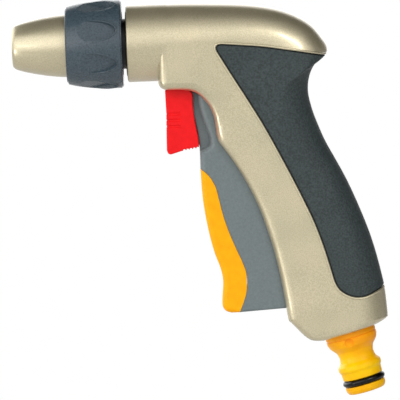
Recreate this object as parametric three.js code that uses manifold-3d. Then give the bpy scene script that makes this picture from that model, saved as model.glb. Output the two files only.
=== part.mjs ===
// Trigger-operated garden hose spray gun with a twist nozzle and a quick-connect hose nipple.
//
// Millimetres, +Z up. The origin is the centre of the hose nipple's end face. The barrel lies along X
// with the nozzle towards -X, and the gun is mirror symmetric about the plane y = 0.

import * as THREE from 'three';
import { LoftGeometry } from 'three/addons/geometries/LoftGeometry.js';
import { mergeVertices } from 'three/addons/utils/BufferGeometryUtils.js';
import Module from 'manifold-3d';

const wasm = await Module();
wasm.setup();

// ---------------------------------------------------------------------------------------------------
// Driving dimensions
// ---------------------------------------------------------------------------------------------------

const GAP = 0.3;                      // play between pieces that touch
const BARREL_Z = 137.2;               // height of the barrel's axis
const BARREL_BORE_R = 12.9;
const BARREL_FACE_X = -88.0;
const NIPPLE_TILT = THREE.MathUtils.degToRad( 14.5 );   // nipple axis, from the vertical

const HANDLE_WALL = 3.0;              // casting plus the rubber over it
const HOLLOW_SETBACK = [ 1.1, 0.7 ];  // extra wall in front of the pivot housing, below and above
const RUBBER = 1.3;                   // thickness of the rubber grip
const RECESS = 1.75;                  // depth of the casting's recess for it
const CHANNEL_HALF = 10.2;            // half width of the slot that the trigger moves in
const FLOOR_S = 31.8;                 // height of the slot's floor
const WIDE = 20;                      // half width of a cutter that spans the whole gun

const TRIGGER_PIVOT = [ - 63.5, 124.0 ];
const TRIGGER_HALF = 9.5;
const TRIGGER_ARM_HALF = 5.7;
const TRIGGER_POCKET_HALF = 6.0;
const TRIGGER_CORE_HALF = 7.6;        // the part of the lever that the soft pad wraps round
const PAD_FRONT = 2.0;                // thickness of the pad in front of the lever
const TRIGGER_PIN_R = 1.5;

const LOCK_PIVOT = [ - 70.2, 124.6 ];
const LOCK_HALF = 8.0;
const LOCK_POCKET_HALF = 6.0;
const LOCK_PIN_R = 1.2;
const PIN_PLAY = 0.25;                // a pin's hole is this much larger in radius

const EAR_INNER = 8.3;                // the two ears that hold both pivot pins
const EAR_OUTER = 9.9;

const VALVE_Z = 111.0;                // height of the valve's axis, which is parallel to X
const STEM_R = 1.9;
const STEM_HEAD_R = 3.0;
const RISER_X = - 38.2;
const PORT_S = 114.6;                 // where the inlet meets the valve's axis, along the nipple's axis
const TUBE_R = 4.6;

const FINE = 28;                      // segments round a large turned piece
const COARSE = 18;                    // round a middling one
const SMALL = 12;                     // and round a small one

// ---------------------------------------------------------------------------------------------------
// Solids
// ---------------------------------------------------------------------------------------------------

// Any closed three.js geometry as a solid whose faces point out.
function solid( geometry ) {

	const bare = new THREE.BufferGeometry().copy( geometry );
	bare.deleteAttribute( 'normal' );
	bare.deleteAttribute( 'uv' );
	const merged = mergeVertices( bare, 1e-4 );
	const vertices = new Float32Array( merged.attributes.position.array );
	const corners = merged.index.array;
	const point = ( i ) => new THREE.Vector3().fromArray( vertices, 3 * i );
	const triangles = [];
	let volume = 0;
	for ( let i = 0; i < corners.length; i += 3 ) {

		const [ a, b, c ] = [ corners[ i ], corners[ i + 1 ], corners[ i + 2 ] ];
		if ( a === b || b === c || c === a ) continue;
		triangles.push( a, b, c );
		volume += point( a ).dot( point( b ).cross( point( c ) ) );

	}

	if ( volume < 0 ) triangles.reverse();
	return new wasm.Manifold( new wasm.Mesh( {
		numProp: 3, vertProperties: vertices, triVerts: new Uint32Array( triangles )
	} ) );

}

function joined( first, ...others ) {

	return others.reduce( ( whole, other ) => whole.add( other ), first );

}

function cut( whole, ...tools ) {

	return tools.reduce( ( rest, tool ) => rest.subtract( tool ), whole );

}

function outline( points ) {

	return new THREE.Shape( points.map( ( [ x, z ] ) => new THREE.Vector2( x, z ) ) );

}

// A side outline in X and Z, given thickness from y = from to y = to.
function slab( points, from, to ) {

	const geometry = new THREE.ExtrudeGeometry( outline( points ), { depth: to - from, bevelEnabled: false } );
	geometry.rotateX( Math.PI / 2 );
	geometry.translate( 0, to, 0 );
	return solid( geometry );

}

function plate( points, half ) {

	return slab( points, - half, half );

}

// Turned about the vertical through the origin: points are [radius, height].
function turned( points, segments = COARSE ) {

	const ring = points.map( ( [ r, h ] ) => new THREE.Vector2( r, h ) );
	ring.push( ring[ 0 ].clone() );
	return new THREE.LatheGeometry( ring, segments );

}

// Turned about a line parallel to X at height z: points are [x, radius].
function turnedX( points, z, segments = COARSE ) {

	const geometry = turned( points.map( ( [ x, r ] ) => [ r, x ] ), segments );
	geometry.rotateZ( - Math.PI / 2 );
	geometry.translate( 0, 0, z );
	return solid( geometry );

}

// Turned about the vertical at x: points are [radius, z].
function turnedZ( points, x, segments = COARSE ) {

	const geometry = turned( points, segments );
	geometry.rotateX( Math.PI / 2 );
	geometry.translate( x, 0, 0 );
	return solid( geometry );

}

// Turned about the nipple's tilted axis: points are [radius, distance up the axis].
function turnedNipple( points, segments = COARSE ) {

	const geometry = turned( points, segments );
	geometry.rotateX( Math.PI / 2 );
	geometry.rotateY( - NIPPLE_TILT );
	return solid( geometry );

}

// Turned about a line parallel to Y through [x, z]: a round pin or hole.
function pin( [ x, z ], radius, half, segments = SMALL ) {

	const geometry = new THREE.CylinderGeometry( radius, radius, 2 * half, segments );
	geometry.translate( x, 0, z );
	return solid( geometry );

}

function box( x0, x1, y0, y1, z0, z1 ) {

	const geometry = new THREE.BoxGeometry( x1 - x0, y1 - y0, z1 - z0 );
	geometry.translate( ( x0 + x1 ) / 2, ( y0 + y1 ) / 2, ( z0 + z1 ) / 2 );
	return solid( geometry );

}

// A rubber ring of round section, as [along, radius] points for one of the turned functions.
function ringSection( along, radius, thick ) {

	const sides = 8;
	return Array.from( { length: sides }, ( _, i ) => {

		const angle = 2 * Math.PI * i / sides;
		return [ along + thick / 2 * Math.cos( angle ), radius + thick / 2 * Math.sin( angle ) ];

	} );

}

const swap = ( points ) => points.map( ( [ a, b ] ) => [ b, a ] );

// ---------------------------------------------------------------------------------------------------
// The pistol-shaped casting
//
// Its outside is a loft over ribs. Each rib is a rounded rectangle that spans the body from a point on
// the front or underside to a point on the top or back, both in the plane y = 0:
// front x, front z, back x, back z, half width, corner radius at the front and at the back, wall
// ---------------------------------------------------------------------------------------------------

const BARREL_RIBS = [
	[ - 88.0, 122.8, - 88.0, 151.6, 14.4, 14.4, 14.4, 2 ],
	[ - 87.4, 122.3, - 87.4, 152.1, 14.9, 14.9, 14.9, 2 ],
	[ - 77.0, 122.3, - 77.0, 152.1, 14.9, 14.9, 14.9, 2 ],
	[ - 75.7, 120.8, - 75.4, 152.0, 14.7, 6.0, 14.7, 3 ]
];
const HANDLE_RIBS = [
	[ - 74.0, 119.6, - 73.6, 152.0, 14.6, 3.0, 14.6, 3 ],        // pivot housing
	[ - 66.0, 119.3, - 64.0, 151.9, 14.6, 3.0, 14.6, 3 ],
	[ - 62.8, 118.4, - 57.0, 151.6, 14.6, 3.8, 14.6, 3 ],        // arch behind the trigger
	[ - 59.6, 115.9, - 48.0, 151.2, 14.5, 3.8, 14.5, 3 ],
	[ - 57.0, 112.4, - 40.0, 150.5, 14.4, 3.8, 14.4, 3 ],
	[ - 55.8, 109.2, - 33.1, 149.4, 14.3, 3.8, 14.3, 3 ],
	[ - 55.3, 107.0, - 26.8, 147.6, 14.2, 3.8, 14.2, 3 ],
	[ - 55.2, 105.6, - 21.4, 145.1, 14.1, 3.8, 14.1, 3 ],
	[ - 55.1, 104.8, - 17.2, 141.5, 14.0, 3.8, 14.0, 3 ],
	[ - 55.0, 104.1, - 14.0, 137.0, 13.9, 3.8, 13.9, 4 ],
	[ - 54.9, 103.5, - 11.4, 132.6, 13.8, 3.8, 13.8, 6 ],        // heel
	[ - 54.9, 102.9, - 12.2, 130.5, 13.8, 3.8, 13.6, 8 ],
	[ - 54.8, 102.2, - 15.1, 127.9, 13.8, 3.8, 13.4, 7 ],
	[ - 54.6, 101.1, - 17.9, 123.0, 13.7, 3.8, 13.2, 5 ],        // hollow for the web of the hand
	[ - 54.0, 99.0, - 18.8, 116.6, 13.7, 3.8, 13.0, 3 ],
	[ - 52.6, 96.8, - 17.6, 110.4, 13.7, 3.8, 12.8, 3 ],
	[ - 48.7, 91.2, - 15.3, 103.5, 13.7, 3.8, 12.6, 3 ],
	[ - 44.9, 84.8, - 12.7, 97.1, 13.7, 3.8, 12.5, 3 ],
	[ - 41.4, 77.7, - 9.6, 91.1, 13.7, 3.8, 12.4, 3 ],
	[ - 38.4, 70.2, - 5.6, 83.3, 13.7, 3.8, 12.4, 3 ],
	[ - 36.1, 63.0, - 2.3, 75.8, 13.7, 3.8, 12.3, 3 ],
	[ - 34.4, 56.8, 0.5, 68.7, 13.6, 3.8, 12.3, 3 ],
	[ - 32.9, 50.1, 3.1, 61.4, 13.6, 3.8, 12.2, 3 ],
	[ - 31.4, 41.9, 5.6, 52.6, 13.5, 3.8, 12.1, 3 ],
	[ - 30.5, 35.8, 7.2, 45.5, 13.5, 3.8, 12.0, 3 ],
	[ - 30.0, 31.8, 8.3, 39.9, 13.5, 3.8, 12.0, 3 ],
	[ - 29.5, 29.1, 8.8, 34.6, 13.4, 3.8, 12.0, 3 ]
];
const FOOT_RIBS = [                                              // chamfered towards the nipple
	[ - 28.3, 27.9, 8.75, 31.2, 13.3, 3.5, 12.0, 3 ],
	[ - 22.6, 22.4, 7.5, 27.9, 13.0, 4.0, 11.6, 3 ],
	[ - 20.0, 21.2, 5.8, 26.8, 12.7, 4.0, 11.3, 3 ],
	[ - 17.5, 20.5, 3.6, 25.9, 11.2, 4.0, 10.3, 3 ]
];
const RIBS = [ ...BARREL_RIBS, ...HANDLE_RIBS, ...FOOT_RIBS ];

// The points round one rib, shrunk by inset on every side.
function ribSection( [ frontX, frontZ, backX, backZ, half, frontRound, backRound ], inset, arcSteps ) {

	const along = new THREE.Vector3( backX - frontX, 0, backZ - frontZ );
	const length = along.length() - 2 * inset;
	along.normalize();
	const start = new THREE.Vector3( frontX, 0, frontZ ).addScaledVector( along, inset );
	const width = half - inset;
	const points = [];
	const corner = ( radius, atBack, side ) => {

		const r = Math.min( Math.max( radius - inset, 0.8 ), width - 0.02, length / 2 - 0.02 );
		const centre = atBack ? length - r : r;
		for ( let i = 0; i <= arcSteps; i ++ ) {

			const angle = Math.PI / 2 * ( side === ( atBack ? 1 : - 1 ) ? i : arcSteps - i ) / arcSteps;
			const t = centre + ( atBack ? 1 : - 1 ) * r * Math.sin( angle );
			const point = start.clone().addScaledVector( along, t );
			point.y = side * ( width - r + r * Math.cos( angle ) );
			points.push( point );

		}

	};

	corner( frontRound, false, - 1 );
	corner( frontRound, false, 1 );
	corner( backRound, true, 1 );
	corner( backRound, true, - 1 );
	return points;

}

function bodyLoft( ribs, inset = 0, arcSteps = 4 ) {

	const sections = ribs.map( ( rib ) => ribSection( rib, inset, arcSteps ) );
	return solid( new LoftGeometry( sections, { capStart: true, capEnd: true } ) );

}

// A surface that lies depth below the casting's outside. The ribs run almost along the underside of the
// heel, so it is lifted away from there as well.
const HEEL_LIFT = 0.65;
const HEEL_NORMAL = [ - 0.667, 0, 0.745 ];

function below( depth ) {

	const lift = HEEL_LIFT * depth;
	return bodyLoft( RIBS, depth ).translate( HEEL_NORMAL.map( ( part ) => lift * part ) );

}

// The edge of the rubber panel, from the heel forwards and down to the foot.
const PANEL_EDGE = [
	[ - 9.0, 130.1 ], [ - 12.8, 130.7 ], [ - 25.1, 133.0 ], [ - 35.9, 134.8 ], [ - 44.4, 135.7 ],
	[ - 51.8, 136.3 ], [ - 53.4, 136.0 ], [ - 53.8, 134.8 ], [ - 51.9, 131.5 ], [ - 47.9, 124.6 ],
	[ - 42.4, 115.4 ], [ - 37.0, 106.1 ], [ - 31.5, 95.5 ], [ - 26.8, 86.0 ], [ - 22.1, 76.0 ],
	[ - 18.5, 67.8 ], [ - 15.7, 60.0 ], [ - 13.6, 53.1 ], [ - 11.9, 46.8 ], [ - 10.9, 43.4 ],
	[ - 9.4, 40.8 ], [ - 6.8, 38.8 ], [ - 3.7, 37.7 ], [ - 0.2, 37.7 ], [ 4.5, 39.4 ], [ 12.0, 43.2 ]
];

const PANEL_OUTSIDE = [ [ 30, 50 ], [ 30, 125 ] ];       // clear of the handle's back

// The panel's outline, moved out by margin all along its edge.
function panelOutline( margin ) {

	const last = PANEL_EDGE.length - 1;
	const edge = PANEL_EDGE.map( ( [ x, z ], i ) => {

		const [ ax, az ] = PANEL_EDGE[ Math.max( i - 1, 0 ) ];
		const [ bx, bz ] = PANEL_EDGE[ Math.min( i + 1, last ) ];
		const length = Math.hypot( bx - ax, bz - az );
		return [ x + margin * ( bz - az ) / length, z - margin * ( bx - ax ) / length ];

	} );
	return [ ...edge, ...PANEL_OUTSIDE ];

}

function gripOvermould() {

	return bodyLoft( RIBS ).intersect( plate( panelOutline( 0 ), WIDE ) ).subtract( below( RUBBER ) );

}

// The slot behind the trigger, open to the front from the pivot housing to the foot.
function triggerChannel() {

	return plate( [
		[ - 73.3, 114 ], [ - 73.3, 124 ], [ - 60, 121 ], [ - 52, 111 ], [ - 48.5, 103 ], [ - 43.5, 91 ],
		[ - 36.5, 78 ], [ - 30, 60 ], [ - 26, 45 ], [ - 25.5, FLOOR_S ], [ - 38, FLOOR_S ], [ - 44, 60 ],
		[ - 52, 80 ], [ - 62, 100 ]
	], CHANNEL_HALF );

}

function bodyShell() {

	const bore = BARREL_BORE_R;
	const boreRib = ( x ) => [ x, BARREL_Z - bore, x, BARREL_Z + bore, bore, bore, bore ];
	const hollowRibs = HANDLE_RIBS.map( ( [ fx, fz, bx, bz, half, frontRound, backRound, wall ] ) => {

		const length = Math.hypot( bx - fx, bz - fz );
		const [ dx, dz ] = [ ( bx - fx ) / length, ( bz - fz ) / length ];
		return [ fx + HANDLE_WALL * dx, fz + HANDLE_WALL * dz, bx - wall * dx, bz - wall * dz,
			half - HANDLE_WALL, Math.max( frontRound - HANDLE_WALL, 1 ), backRound - HANDLE_WALL ];

	} );
	hollowRibs[ 0 ][ 0 ] += HOLLOW_SETBACK[ 0 ];
	hollowRibs[ 0 ][ 2 ] += HOLLOW_SETBACK[ 1 ];
	const hollow = bodyLoft( [ boreRib( BARREL_FACE_X - 1 ), boreRib( - 75.2 ), ...hollowRibs ], 0, 5 );
	const recess = plate( panelOutline( GAP ), WIDE ).subtract( below( RECESS ) );
	const nippleHole = turnedNipple( [ [ 0, 18 ], [ 8.4, 18 ], [ 8.4, 34 ], [ 0, 34 ] ] );
	return cut( bodyLoft( RIBS ), hollow, recess, triggerChannel(), nippleHole );

}

// ---------------------------------------------------------------------------------------------------
// Waterway: nipple, inlet tube, valve, barrel tube
// ---------------------------------------------------------------------------------------------------

function hoseNipple() {

	return turnedNipple( [
		[ 4.6, 0 ], [ 6.4, 0 ], [ 7.3, 0.5 ], [ 7.8, 1.6 ], [ 7.85, 3.0 ], [ 5.7, 3.0 ], [ 5.7, 5.8 ],
		[ 7.8, 5.8 ], [ 7.9, 8.8 ], [ 8.4, 9.6 ], [ 8.45, 10.8 ], [ 7.7, 11.6 ], [ 7.0, 12.6 ],
		[ 6.7, 14.6 ], [ 7.05, 16.6 ], [ 8.4, 18.6 ], [ 9.3, 20.2 ], [ 9.75, 21.4 ], [ 9.75, 24.0 ],
		[ 8.0, 24.0 ], [ 8.0, 29.5 ], [ 4.6, 29.5 ]
	], FINE );

}

function inletTube() {

	return turnedNipple( [
		[ 3.2, 31.6 ], [ 7.2, 31.6 ], [ 7.2, 33.6 ], [ TUBE_R, 33.6 ], [ TUBE_R, 95 ], [ 4.0, 95 ],
		[ 4.0, 103.9 ], [ 3.0, 103.9 ], [ 3.0, 95 ], [ 3.2, 95 ]
	] );

}

function valveHousing() {

	const chamber = turnedX( [ [ - 44, 0 ], [ - 44, 7.2 ], [ - 25, 7.2 ], [ - 25, 0 ] ], VALVE_Z );
	const riser = turnedZ( [
		[ 0, 112 ], [ 5.6, 112 ], [ 5.6, 121 ], [ 4.2, 121 ], [ 4.2, 128.4 ], [ 0, 128.4 ]
	], RISER_X );
	const port = turnedNipple( [ [ 0, 96 ], [ 6.6, 96 ], [ 6.6, 110 ], [ 0, 110 ] ] )
		.subtract( box( - 24.9, - 15, - 8, 8, 103.8, 115 ) );
	const bore = turnedX( [ [ - 45, 0 ], [ - 45, 5.3 ], [ - 24, 5.3 ], [ - 24, 0 ] ], VALVE_Z );
	const riserBore = turnedZ( [ [ 0, 111 ], [ 2.4, 111 ], [ 2.4, 130 ], [ 0, 130 ] ], RISER_X, 16 );
	const portBore = turnedNipple( [
		[ 0, 95 ], [ 5.6, 95 ], [ 5.6, 104.2 ], [ 2.8, 104.2 ], [ 2.8, PORT_S ], [ 0, PORT_S ]
	] );
	return cut( joined( chamber, riser, port ), bore, riserBore, portBore );

}

function barrelTube() {

	const tube = turnedX( [
		[ - 85, 0 ], [ - 85, 6.6 ], [ - 80.2, 6.6 ], [ - 80.2, 7.5 ], [ - 31, 7.5 ], [ - 31, 0 ]
	], BARREL_Z );
	const socket = turnedZ( [ [ 0, 121.6 ], [ 6.8, 121.6 ], [ 6.8, 134 ], [ 0, 134 ] ], RISER_X );
	const bridge = box( - 72.3, - 60, - EAR_OUTER, EAR_OUTER, 128.6, 132.5 );
	const ear = [
		[ - 72.3, 130 ], [ - 72.3, 122.4 ], [ - 70.2, 121.2 ], [ - 63.5, 120.8 ], [ - 60, 122.4 ], [ - 60, 130 ]
	];
	const bore = turnedX( [ [ - 86, 0 ], [ - 86, 5.2 ], [ - 33, 5.2 ], [ - 33, 0 ] ], BARREL_Z );
	const socketBore = turnedZ( [
		[ 0, 121 ], [ 5.7, 121 ], [ 5.7, 128.8 ], [ 2.6, 128.8 ], [ 2.6, 137 ], [ 0, 137 ]
	], RISER_X );
	const ears = slab( ear, EAR_INNER, EAR_OUTER ).add( slab( ear, - EAR_OUTER, - EAR_INNER ) );
	const whole = joined( tube, socket, bridge, ears );
	return cut( whole, bore, socketBore, pin( TRIGGER_PIVOT, TRIGGER_PIN_R + PIN_PLAY, WIDE ),
		pin( LOCK_PIVOT, LOCK_PIN_R + PIN_PLAY, WIDE ) );

}

function valveStem() {

	const steps = 5;
	const head = Array.from( { length: steps + 1 }, ( _, i ) => {

		const angle = Math.PI / 2 * i / steps;
		return [ - 50.2 - STEM_HEAD_R * Math.cos( angle ), STEM_HEAD_R * Math.sin( angle ) ];

	} );
	return turnedX( [
		...head, [ - 49.6, STEM_HEAD_R ], [ - 49.6, STEM_R ], [ - 35.2, STEM_R ], [ - 35.2, 2.7 ],
		[ - 33.9, 2.7 ], [ - 33.9, 1.5 ], [ - 28.9, 1.5 ], [ - 28.9, 0 ]
	], VALVE_Z );

}

function valveSpring() {

	const [ from, to, turns, radius, wire ] = [ - 30.0, - 25.8, 4, 2.9, 0.6 ];
	const path = new THREE.Curve();
	path.getPoint = ( t ) => new THREE.Vector3(
		from + ( to - from ) * t,
		radius * Math.cos( 2 * Math.PI * turns * t ),
		VALVE_Z + radius * Math.sin( 2 * Math.PI * turns * t )
	);
	const section = new THREE.Shape();
	section.absarc( 0, 0, wire / 2, 0, 2 * Math.PI );
	return solid( new THREE.ExtrudeGeometry( section, {
		steps: 12 * turns, curveSegments: 3, extrudePath: path, bevelEnabled: false
	} ) );

}

// ---------------------------------------------------------------------------------------------------
// Trigger and lock lever
// ---------------------------------------------------------------------------------------------------

// The front of the soft pad, from its top tip down to the trigger's foot.
const PAD_FACE = [
	[ - 61.35, 88.3 ], [ - 61.2, 83.6 ], [ - 60.8, 76.7 ], [ - 59.8, 68.9 ], [ - 58.5, 61.9 ], [ - 56.8, 55.2 ],
	[ - 55.0, 50.1 ], [ - 54.2, 46.2 ], [ - 54.3, 41.6 ], [ - 54.7, 37.3 ]
];
const PAD_FOOT = [ [ - 54.6, 35.2 ], [ - 53.5, 33.4 ], [ - 51.3, 32.6 ], [ - 48.5, 32.7 ] ];
// Its back edge on the trigger's sides, from the foot up to the tip.
const PAD_BACK = [
	[ - 46.5, 36.7 ], [ - 45.3, 40.5 ], [ - 45.0, 44.7 ], [ - 45.3, 48.6 ], [ - 46.5, 52.2 ], [ - 49.0, 58.1 ],
	[ - 51.5, 64.7 ], [ - 53.3, 70.6 ], [ - 54.5, 76.0 ], [ - 56.0, 82.0 ], [ - 58.6, 86.0 ]
];
const CORE_FOOT_Z = 34.8;

// What is left of the trigger inside the pad: depth is measured back from the pad's face.
function padCore( depth, half, footZ ) {

	const face = PAD_FACE.map( ( [ x, z ] ) => [ x + depth, z ] );
	return plate( [
		...face, [ - 54.5 + depth, footZ ], [ - 43, footZ ], [ - 43, 52 ], [ - 53, 84 ], [ - 57, 88.3 ]
	], half );

}

function triggerPad() {

	const whole = plate( [ ...PAD_FACE, ...PAD_FOOT, ...PAD_BACK ], TRIGGER_HALF );
	return cut( whole, padCore( PAD_FRONT, TRIGGER_CORE_HALF + GAP, CORE_FOOT_Z ) );

}

function triggerLever() {

	const back = [
		[ - 27.5, 33.8 ], [ - 28.5, 40 ], [ - 31.0, 52 ], [ - 33.8, 62 ], [ - 37.5, 72 ], [ - 42, 82 ],
		[ - 47.5, 91.5 ], [ - 50.4, 97.5 ], [ - 51.6, 102 ], [ - 53.2, 103.4 ], [ - 53.7, 106 ], [ - 53.7, 111 ],
		[ - 55.6, 114.8 ], [ - 58.6, 118 ]
	];
	const sides = plate( [
		[ - 61.4, 117.2 ], [ - 61.2, 113.8 ], [ - 60.5, 110.2 ], [ - 59.3, 106.2 ], [ - 58.1, 102.5 ],
		[ - 57.4, 99.7 ], [ - 57.3, 97.7 ], [ - 59.4, 96.5 ], [ - 61.3, 95.8 ], [ - 61.3, 92.5 ],
		...PAD_FACE, ...PAD_FOOT, ...back
	], TRIGGER_HALF );
	const arm = plate( [
		[ - 61.3, 92 ], [ - 61.4, 97 ], [ - 62.1, 103 ], [ - 63.1, 108 ], [ - 64.8, 114 ], [ - 67.0, 120.5 ],
		[ - 67.4, 124 ], [ - 66.3, 126.8 ], [ - 63.5, 127.9 ], [ - 60.7, 126.8 ], [ - 59.4, 123 ],
		[ - 56.5, 119 ], [ - 53.5, 116 ], [ - 53.5, 106 ], [ - 52, 98 ], [ - 50, 92 ]
	], TRIGGER_ARM_HALF );
	const padRoom = plate( [
		...PAD_FACE.map( ( [ x, z ] ) => [ x - 1, z + 1.3 ] ), [ - 58, 30 ], [ - 48.2, 30 ],
		...PAD_BACK.map( ( [ x, z ] ) => [ x + GAP, z + GAP ] )
	], WIDE );
	const pocket = plate( [
		[ - 55.5, 96 ], [ - 55.5, 80 ], [ - 54, 70 ], [ - 52, 60 ], [ - 49.3, 50 ], [ - 48, 42 ], [ - 48, 36.4 ],
		[ - 36, 36.4 ], [ - 36, 30 ], [ - 20, 30 ], [ - 20, 60 ], [ - 45, 100 ]
	], TRIGGER_POCKET_HALF );
	const core = padCore( PAD_FRONT + GAP, TRIGGER_CORE_HALF, CORE_FOOT_Z + GAP );
	const pinHole = pin( TRIGGER_PIVOT, TRIGGER_PIN_R + PIN_PLAY, WIDE );
	return cut( joined( sides.subtract( padRoom ), core, arm ), pocket, pinHole );

}

function lockLever() {

	const side = [
		[ - 72.4, 126.0 ], [ - 72.7, 119.5 ], [ - 73.9, 119.2 ], [ - 73.7, 110.4 ], [ - 73.9, 101.5 ],
		[ - 74.0, 96.0 ], [ - 73.3, 94.4 ], [ - 72.5, 94.2 ], [ - 67.9, 95.5 ], [ - 61.6, 96.4 ],
		[ - 61.5, 98.2 ], [ - 61.8, 101.1 ], [ - 62.5, 105.0 ], [ - 63.1, 109.3 ], [ - 63.3, 113.2 ],
		[ - 63.3, 117.6 ], [ - 66.2, 121.2 ], [ - 67.4, 124.6 ], [ - 68.2, 126.6 ], [ - 70.2, 127.4 ]
	];
	const pocket = [
		[ - 71.4, 130 ], [ - 71.4, 104.2 ], [ - 67.0, 103.6 ], [ - 67.0, 101.6 ], [ - 71.4, 101.6 ],
		[ - 71.4, 97.2 ], [ - 66.2, 98.0 ], [ - 66.2, 90 ], [ - 55, 90 ], [ - 55, 130 ]
	];
	const notch = ( x, z, r ) => pin( [ x, z ], r, WIDE, 8 );
	const grips = [ 110.8, 108.3, 105.8 ].map( ( z ) => notch( - 74.1, z, 0.8 ) );
	const teeth = [ 0, 1, 2, 3 ].map( ( i ) => notch( - 66.6 + 1.3 * i, 95.9 + 0.25 * i, 0.45 ) );
	return cut( plate( side, LOCK_HALF ), plate( pocket, LOCK_POCKET_HALF ), ...grips, ...teeth,
		pin( LOCK_PIVOT, LOCK_PIN_R + PIN_PLAY, WIDE ) );

}

// ---------------------------------------------------------------------------------------------------
// Twist nozzle
// ---------------------------------------------------------------------------------------------------

function spindleSpigot() {

	return turnedX( [
		[ - 80.5, 8.6 ], [ - 80.5, 12.4 ], [ - 88.4, 12.4 ], [ - 88.4, 9.65 ], [ - 96, 9.65 ], [ - 96, 9.0 ],
		[ - 104, 9.0 ], [ - 104, 7.0 ], [ - 113.5, 7.0 ], [ - 113.5, 5.2 ], [ - 85.3, 5.2 ], [ - 85.3, 8.6 ]
	], BARREL_Z, FINE );

}

function sprayCone() {

	const rod = turnedX( [
		[ - 110.5, 0 ], [ - 110.5, 1.6 ], [ - 121, 1.6 ], [ - 122, 2.2 ], [ - 124, 2.2 ],
		[ - 124.6, 1.4 ], [ - 124.6, 0 ]
	], BARREL_Z, 16 );
	const hub = turnedX( [ [ - 110.5, 3.9 ], [ - 110.5, 4.9 ], [ - 113.2, 4.9 ], [ - 113.2, 3.9 ] ], BARREL_Z );
	const spokes = [ 0, 1, 2 ].map( ( i ) => {

		const geometry = new THREE.BoxGeometry( 2.2, 0.9, 3.4 );
		geometry.translate( - 111.9, 0, 2.7 );
		geometry.rotateX( 2 * Math.PI * i / 3 );
		geometry.translate( 0, 0, BARREL_Z );
		return solid( geometry );

	} );
	return joined( rod, hub, ...spokes );

}

function nozzleTip() {

	return turnedX( [
		[ - 132.1, 6.2 ], [ - 132.1, 7.2 ], [ - 131.5, 8.0 ], [ - 129.5, 8.9 ], [ - 126, 9.9 ], [ - 121, 11.0 ],
		[ - 116, 11.75 ], [ - 112, 12.1 ], [ - 104.3, 12.1 ], [ - 104.3, 10.2 ], [ - 116.5, 10.2 ],
		[ - 121.5, 7.5 ], [ - 124.5, 2.6 ], [ - 126.5, 2.6 ], [ - 128.6, 4.4 ]
	], BARREL_Z, FINE );

}

function nozzleInsert() {

	return turnedX( [
		[ - 97, 9.3 ], [ - 97, 12.3 ], [ - 104, 12.3 ], [ - 104, 9.9 ], [ - 113, 9.9 ], [ - 113, 7.3 ],
		[ - 105.4, 7.3 ], [ - 105.4, 9.3 ]
	], BARREL_Z );

}

function nozzleCollar() {

	return turnedX( [
		[ - 89.7, 12.6 ], [ - 89.7, 16.6 ], [ - 90.3, 16.9 ], [ - 97, 16.9 ], [ - 103, 16.4 ], [ - 108, 15.6 ],
		[ - 111, 14.8 ], [ - 111.4, 14.2 ], [ - 111.4, 12.4 ], [ - 104.3, 12.4 ], [ - 104.3, 12.6 ]
	], BARREL_Z, FINE );

}

// ---------------------------------------------------------------------------------------------------
// Scene graph
// ---------------------------------------------------------------------------------------------------

const FINISH = {
	paint: { color: 0xc9bf9f, roughness: 0.38, metalness: 0.6 },
	rubber: { color: 0x3a4446, roughness: 0.8, metalness: 0 },
	collar: { color: 0x47525e, roughness: 0.5, metalness: 0 },
	grey: { color: 0x727c7f, roughness: 0.45, metalness: 0 },
	amber: { color: 0xfdb517, roughness: 0.5, metalness: 0 },
	red: { color: 0xee2a2f, roughness: 0.4, metalness: 0 },
	yellow: { color: 0xffb400, roughness: 0.35, metalness: 0 },
	black: { color: 0x16181a, roughness: 0.45, metalness: 0 },
	seal: { color: 0x0c0c0d, roughness: 0.3, metalness: 0 },
	steel: { color: 0xb8bcc0, roughness: 0.3, metalness: 1 },
	brass: { color: 0xb99a4e, roughness: 0.3, metalness: 1 }
};

const gun = new THREE.Group();

function add( name, shape, finish ) {

	const { vertProperties, triVerts } = shape.getMesh();
	const geometry = new THREE.BufferGeometry();
	geometry.setAttribute( 'position', new THREE.BufferAttribute( vertProperties, 3 ) );
	geometry.setIndex( new THREE.BufferAttribute( triVerts, 1 ) );
	geometry.computeVertexNormals();
	const mesh = new THREE.Mesh( geometry, new THREE.MeshStandardMaterial( FINISH[ finish ] ) );
	mesh.name = name;
	gun.add( mesh );

}

add( 'body_shell', bodyShell(), 'paint' );
add( 'grip_overmould', gripOvermould(), 'rubber' );

add( 'hose_nipple', hoseNipple(), 'yellow' );
add( 'nipple_o_ring', turnedNipple( swap( ringSection( 4.4, 7.2, 2.4 ) ), FINE ), 'seal' );
add( 'nipple_gasket', turnedNipple( [ [ 4.8, 29.8 ], [ 7.2, 29.8 ], [ 7.2, 31.3 ], [ 4.8, 31.3 ] ] ), 'seal' );
add( 'inlet_tube', inletTube(), 'black' );
add( 'inlet_tube_seal', turnedNipple( swap( ringSection( 100.6, 4.8, 1.0 ) ), SMALL ), 'seal' );
add( 'valve_housing', valveHousing(), 'black' );
add( 'barrel_tube', barrelTube(), 'black' );
add( 'riser_seal', turnedZ( swap( ringSection( 125.0, 4.95, 0.9 ) ), RISER_X, SMALL ), 'seal' );

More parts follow.
